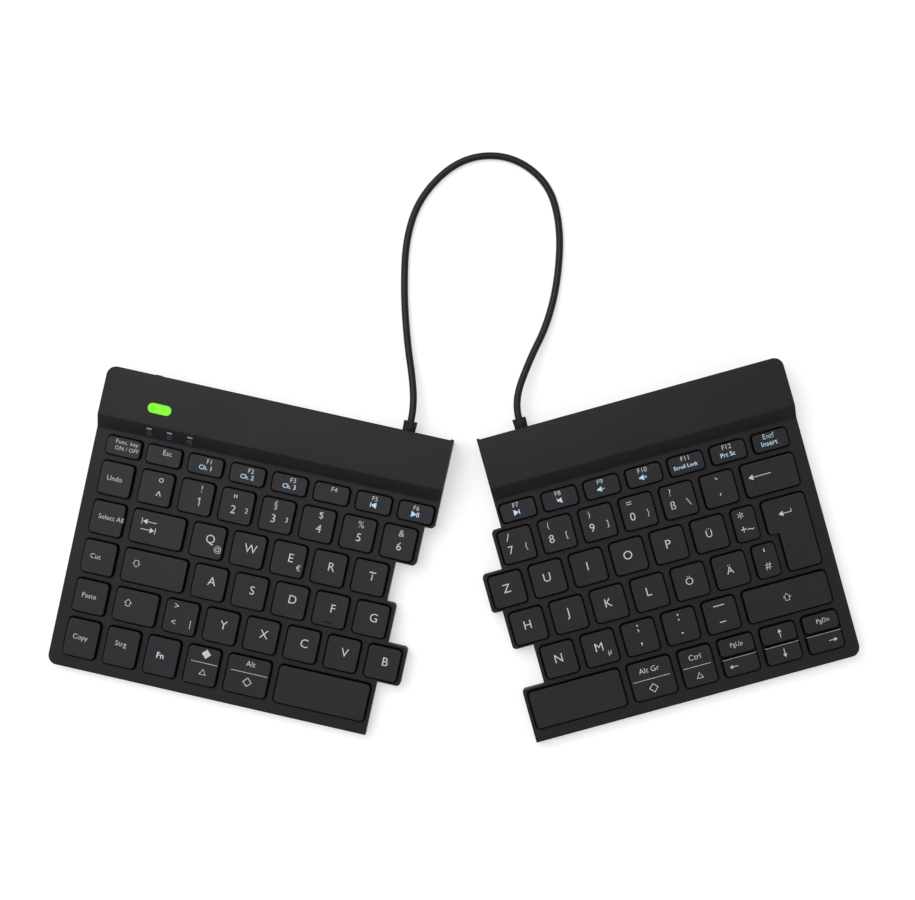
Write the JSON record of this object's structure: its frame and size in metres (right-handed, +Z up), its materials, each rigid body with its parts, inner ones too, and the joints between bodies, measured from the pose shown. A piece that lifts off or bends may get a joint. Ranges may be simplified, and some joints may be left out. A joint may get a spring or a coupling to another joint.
{
  "type": "split keyboard",
  "caption": "Split ergonomic keyboard: two sloped low-profile halves with stepped inner edges, splayed on a desk and joined by a looped cable.",
  "frame": {"origin": "centre of the footprint of both halves, on the desk (the cable between them isn't counted)", "axes": "+X to the typist's right, +Y away from the typist, +Z up"},
  "size_m": [0.3714, 0.2721, 0.0154],
  "materials": {
    "case": "fine matte texture",
    "cover": "fine matte texture",
    "keycap": "fine matte texture, pale printed legends",
    "steel": "plain stamped sheet",
    "film": "translucent printed film",
    "dome_rubber": "milky silicone",
    "link_plastic": "moulded",
    "board": "solder mask",
    "foot_rubber": "matte",
    "screw_steel": "black plated",
    "cable_rubber": "smooth satin jacket",
    "battery_foil": "foil pouch",
    "socket_steel": "bright nickel",
    "light_green": "translucent pill light"
  },
  "bodies": {
    "left_half": {"left_top_case": "case", "left_bottom_cover": "cover", "left_switch_plate": "steel", "left_membrane_sheet": "film", "left_rubber_domes": "dome_rubber", "left_scissor_links": "link_plastic", "left_circuit_board": "board", "left_rubber_feet": "foot_rubber", "left_case_screws": "screw_steel", "left_cable_gland": "cable_rubber", "battery": "battery_foil", "usb_c_socket": "socket_steel", "status_light_window": "light_green", "link_cable": "cable_rubber"},
    "right_half": {"right_top_case": "case", "right_bottom_cover": "cover", "right_switch_plate": "steel", "right_membrane_sheet": "film", "right_rubber_domes": "dome_rubber", "right_scissor_links": "link_plastic", "right_circuit_board": "board", "right_rubber_feet": "foot_rubber", "right_case_screws": "screw_steel", "right_cable_gland": "cable_rubber"},
    "power_switch": {"power_switch_slider": "keycap"},
    "left_shortcut_keys_body": {"left_shortcut_keys": "keycap"},
    "left_control_key_body": {"left_control_key": "keycap"},
    "fn_key_body": {"fn_key": "keycap"},
    "left_system_key_body": {"left_system_key": "keycap"},
    "left_alt_key_body": {"left_alt_key": "keycap"},
    "left_space_key_body": {"left_space_key": "keycap"},
    "left_shift_key_body": {"left_shift_key": "keycap"},
    "left_lower_letter_keys_body": {"left_lower_letter_keys": "keycap"},
    "caps_lock_key_body": {"caps_lock_key": "keycap"},
    "left_home_letter_keys_body": {"left_home_letter_keys": "keycap"},
    "tab_key_body": {"tab_key": "keycap"},
    "left_upper_letter_keys_body": {"left_upper_letter_keys": "keycap"},
    "left_number_keys_body": {"left_number_keys": "keycap"},
    "left_function_keys_body": {"left_function_keys": "keycap"},
    "escape_key_body": {"escape_key": "keycap"},
    "page_down_key_body": {"page_down_key": "keycap"},
    "right_arrow_key_body": {"right_arrow_key": "keycap"},
    "up_arrow_key_body": {"up_arrow_key": "keycap"},
    "down_arrow_key_body": {"down_arrow_key": "keycap"},
    "page_up_key_body": {"page_up_key": "keycap"},
    "left_arrow_key_body": {"left_arrow_key": "keycap"},
    "right_control_key_body": {"right_control_key": "keycap"},
    "alt_gr_key_body": {"alt_gr_key": "keycap"},
    "right_space_key_body": {"right_space_key": "keycap"},
    "right_shift_key_body": {"right_shift_key": "keycap"},
    "right_lower_letter_keys_body": {"right_lower_letter_keys": "keycap"},
    "enter_key_body": {"enter_key": "keycap"},
    "hash_key_body": {"hash_key": "keycap"},
    "right_home_letter_keys_body": {"right_home_letter_keys": "keycap"},
    "plus_key_body": {"plus_key": "keycap"},
    "right_upper_letter_keys_body": {"right_upper_letter_keys": "keycap"},
    "backspace_key_body": {"backspace_key": "keycap"},
    "right_number_keys_body": {"right_number_keys": "keycap"},
    "delete_key_body": {"delete_key": "keycap"},
    "right_function_keys_body": {"right_function_keys": "keycap"}
  },
  "joints": [
    {"name": "right_half_splay", "type": "hinge", "parent": "left_half", "child": "right_half", "pos_m": [0.00667, 0.04235, 0.008], "axis": [0, 0, 1], "range_deg": [-28, 15], "deforming": ["link_cable"]},
    {"name": "power_switch_slide", "type": "slide", "parent": "left_half", "child": "power_switch", "axis": [0.9763, -0.2164, 0], "range_m": [0, 0.0025]},
    {"name": "left_shortcut_keys_press", "type": "slide", "parent": "left_half", "child": "left_shortcut_keys_body", "axis": [-0.0091, -0.0409, 0.9991], "range_m": [-0.0016, 0], "stiffness_N_per_m": 150, "springref_m": 0.002, "deforming": ["left_rubber_domes", "left_scissor_links"]},
    {"name": "left_control_key_press", "type": "slide", "parent": "left_half", "child": "left_control_key_body", "axis": [-0.0091, -0.0409, 0.9991], "range_m": [-0.0016, 0], "stiffness_N_per_m": 150, "springref_m": 0.002},
    {"name": "fn_key_press", "type": "slide", "parent": "left_half", "child": "fn_key_body", "axis": [-0.0091, -0.0409, 0.9991], "range_m": [-0.0016, 0], "stiffness_N_per_m": 150, "springref_m": 0.002},
    {"name": "left_system_key_press", "type": "slide", "parent": "left_half", "child": "left_system_key_body", "axis": [-0.0091, -0.0409, 0.9991], "range_m": [-0.0016, 0], "stiffness_N_per_m": 150, "springref_m": 0.002},
    {"name": "left_alt_key_press", "type": "slide", "parent": "left_half", "child": "left_alt_key_body", "axis": [-0.0091, -0.0409, 0.9991], "range_m": [-0.0016, 0], "stiffness_N_per_m": 150, "springref_m": 0.002},
    {"name": "left_space_key_press", "type": "slide", "parent": "left_half", "child": "left_space_key_body", "axis": [-0.0091, -0.0409, 0.9991], "range_m": [-0.0016, 0], "stiffness_N_per_m": 150, "springref_m": 0.002},
    {"name": "left_shift_key_press", "type": "slide", "parent": "left_half", "child": "left_shift_key_body", "axis": [-0.0091, -0.0409, 0.9991], "range_m": [-0.0016, 0], "stiffness_N_per_m": 150, "springref_m": 0.002},
    {"name": "left_lower_letter_keys_press", "type": "slide", "parent": "left_half", "child": "left_lower_letter_keys_body", "axis": [-0.0091, -0.0409, 0.9991], "range_m": [-0.0016, 0], "stiffness_N_per_m": 150, "springref_m": 0.002},
    {"name": "caps_lock_key_press", "type": "slide", "parent": "left_half", "child": "caps_lock_key_body", "axis": [-0.0091, -0.0409, 0.9991], "range_m": [-0.0016, 0], "stiffness_N_per_m": 150, "springref_m": 0.002},
    {"name": "left_home_letter_keys_press", "type": "slide", "parent": "left_half", "child": "left_home_letter_keys_body", "axis": [-0.0091, -0.0409, 0.9991], "range_m": [-0.0016, 0], "stiffness_N_per_m": 150, "springref_m": 0.002},
    {"name": "tab_key_press", "type": "slide", "parent": "left_half", "child": "tab_key_body", "axis": [-0.0091, -0.0409, 0.9991], "range_m": [-0.0016, 0], "stiffness_N_per_m": 150, "springref_m": 0.002},
    {"name": "left_upper_letter_keys_press", "type": "slide", "parent": "left_half", "child": "left_upper_letter_keys_body", "axis": [-0.0091, -0.0409, 0.9991], "range_m": [-0.0016, 0], "stiffness_N_per_m": 150, "springref_m": 0.002},
    {"name": "left_number_keys_press", "type": "slide", "parent": "left_half", "child": "left_number_keys_body", "axis": [-0.0091, -0.0409, 0.9991], "range_m": [-0.0016, 0], "stiffness_N_per_m": 150, "springref_m": 0.002},
    {"name": "left_function_keys_press", "type": "slide", "parent": "left_half", "child": "left_function_keys_body", "axis": [-0.0091, -0.0409, 0.9991], "range_m": [-0.0016, 0], "stiffness_N_per_m": 150, "springref_m": 0.002},
    {"name": "escape_key_press", "type": "slide", "parent": "left_half", "child": "escape_key_body", "axis": [-0.0091, -0.0409, 0.9991], "range_m": [-0.0016, 0], "stiffness_N_per_m": 150, "springref_m": 0.002},
    {"name": "page_down_key_press", "type": "slide", "parent": "right_half", "child": "page_down_key_body", "axis": [0.0112, -0.0404, 0.9991], "range_m": [-0.0016, 0], "stiffness_N_per_m": 150, "springref_m": 0.002, "deforming": ["right_rubber_domes", "right_scissor_links"]},
    {"name": "right_arrow_key_press", "type": "slide", "parent": "right_half", "child": "right_arrow_key_body", "axis": [0.0112, -0.0404, 0.9991], "range_m": [-0.0016, 0], "stiffness_N_per_m": 150, "springref_m": 0.002},
    {"name": "up_arrow_key_press", "type": "slide", "parent": "right_half", "child": "up_arrow_key_body", "axis": [0.0112, -0.0404, 0.9991], "range_m": [-0.0016, 0], "stiffness_N_per_m": 150, "springref_m": 0.002},
    {"name": "down_arrow_key_press", "type": "slide", "parent": "right_half", "child": "down_arrow_key_body", "axis": [0.0112, -0.0404, 0.9991], "range_m": [-0.0016, 0], "stiffness_N_per_m": 150, "springref_m": 0.002},
    {"name": "page_up_key_press", "type": "slide", "parent": "right_half", "child": "page_up_key_body", "axis": [0.0112, -0.0404, 0.9991], "range_m": [-0.0016, 0], "stiffness_N_per_m": 150, "springref_m": 0.002},
    {"name": "left_arrow_key_press", "type": "slide", "parent": "right_half", "child": "left_arrow_key_body", "axis": [0.0112, -0.0404, 0.9991], "range_m": [-0.0016, 0], "stiffness_N_per_m": 150, "springref_m": 0.002},
    {"name": "right_control_key_press", "type": "slide", "parent": "right_half", "child": "right_control_key_body", "axis": [0.0112, -0.0404, 0.9991], "range_m": [-0.0016, 0], "stiffness_N_per_m": 150, "springref_m": 0.002},
    {"name": "alt_gr_key_press", "type": "slide", "parent": "right_half", "child": "alt_gr_key_body", "axis": [0.0112, -0.0404, 0.9991], "range_m": [-0.0016, 0], "stiffness_N_per_m": 150, "springref_m": 0.002},
    {"name": "right_space_key_press", "type": "slide", "parent": "right_half", "child": "right_space_key_body", "axis": [0.0112, -0.0404, 0.9991], "range_m": [-0.0016, 0], "stiffness_N_per_m": 150, "springref_m": 0.002},
    {"name": "right_shift_key_press", "type": "slide", "parent": "right_half", "child": "right_shift_key_body", "axis": [0.0112, -0.0404, 0.9991], "range_m": [-0.0016, 0], "stiffness_N_per_m": 150, "springref_m": 0.002},
    {"name": "right_lower_letter_keys_press", "type": "slide", "parent": "right_half", "child": "right_lower_letter_keys_body", "axis": [0.0112, -0.0404, 0.9991], "range_m": [-0.0016, 0], "stiffness_N_per_m": 150, "springref_m": 0.002},
    {"name": "enter_key_press", "type": "slide", "parent": "right_half", "child": "enter_key_body", "axis": [0.0112, -0.0404, 0.9991], "range_m": [-0.0016, 0], "stiffness_N_per_m": 150, "springref_m": 0.002},
    {"name": "hash_key_press", "type": "slide", "parent": "right_half", "child": "hash_key_body", "axis": [0.0112, -0.0404, 0.9991], "range_m": [-0.0016, 0], "stiffness_N_per_m": 150, "springref_m": 0.002},
    {"name": "right_home_letter_keys_press", "type": "slide", "parent": "right_half", "child": "right_home_letter_keys_body", "axis": [0.0112, -0.0404, 0.9991], "range_m": [-0.0016, 0], "stiffness_N_per_m": 150, "springref_m": 0.002},
    {"name": "plus_key_press", "type": "slide", "parent": "right_half", "child": "plus_key_body", "axis": [0.0112, -0.0404, 0.9991], "range_m": [-0.0016, 0], "stiffness_N_per_m": 150, "springref_m": 0.002},
    {"name": "right_upper_letter_keys_press", "type": "slide", "parent": "right_half", "child": "right_upper_letter_keys_body", "axis": [0.0112, -0.0404, 0.9991], "range_m": [-0.0016, 0], "stiffness_N_per_m": 150, "springref_m": 0.002},
    {"name": "backspace_key_press", "type": "slide", "parent": "right_half", "child": "backspace_key_body", "axis": [0.0112, -0.0404, 0.9991], "range_m": [-0.0016, 0], "stiffness_N_per_m": 150, "springref_m": 0.002},
    {"name": "right_number_keys_press", "type": "slide", "parent": "right_half", "child": "right_number_keys_body", "axis": [0.0112, -0.0404, 0.9991], "range_m": [-0.0016, 0], "stiffness_N_per_m": 150, "springref_m": 0.002},
    {"name": "delete_key_press", "type": "slide", "parent": "right_half", "child": "delete_key_body", "axis": [0.0112, -0.0404, 0.9991], "range_m": [-0.0016, 0], "stiffness_N_per_m": 150, "springref_m": 0.002},
    {"name": "right_function_keys_press", "type": "slide", "parent": "right_half", "child": "right_function_keys_body", "axis": [0.0112, -0.0404, 0.9991], "range_m": [-0.0016, 0], "stiffness_N_per_m": 150, "springref_m": 0.002}
  ]
}
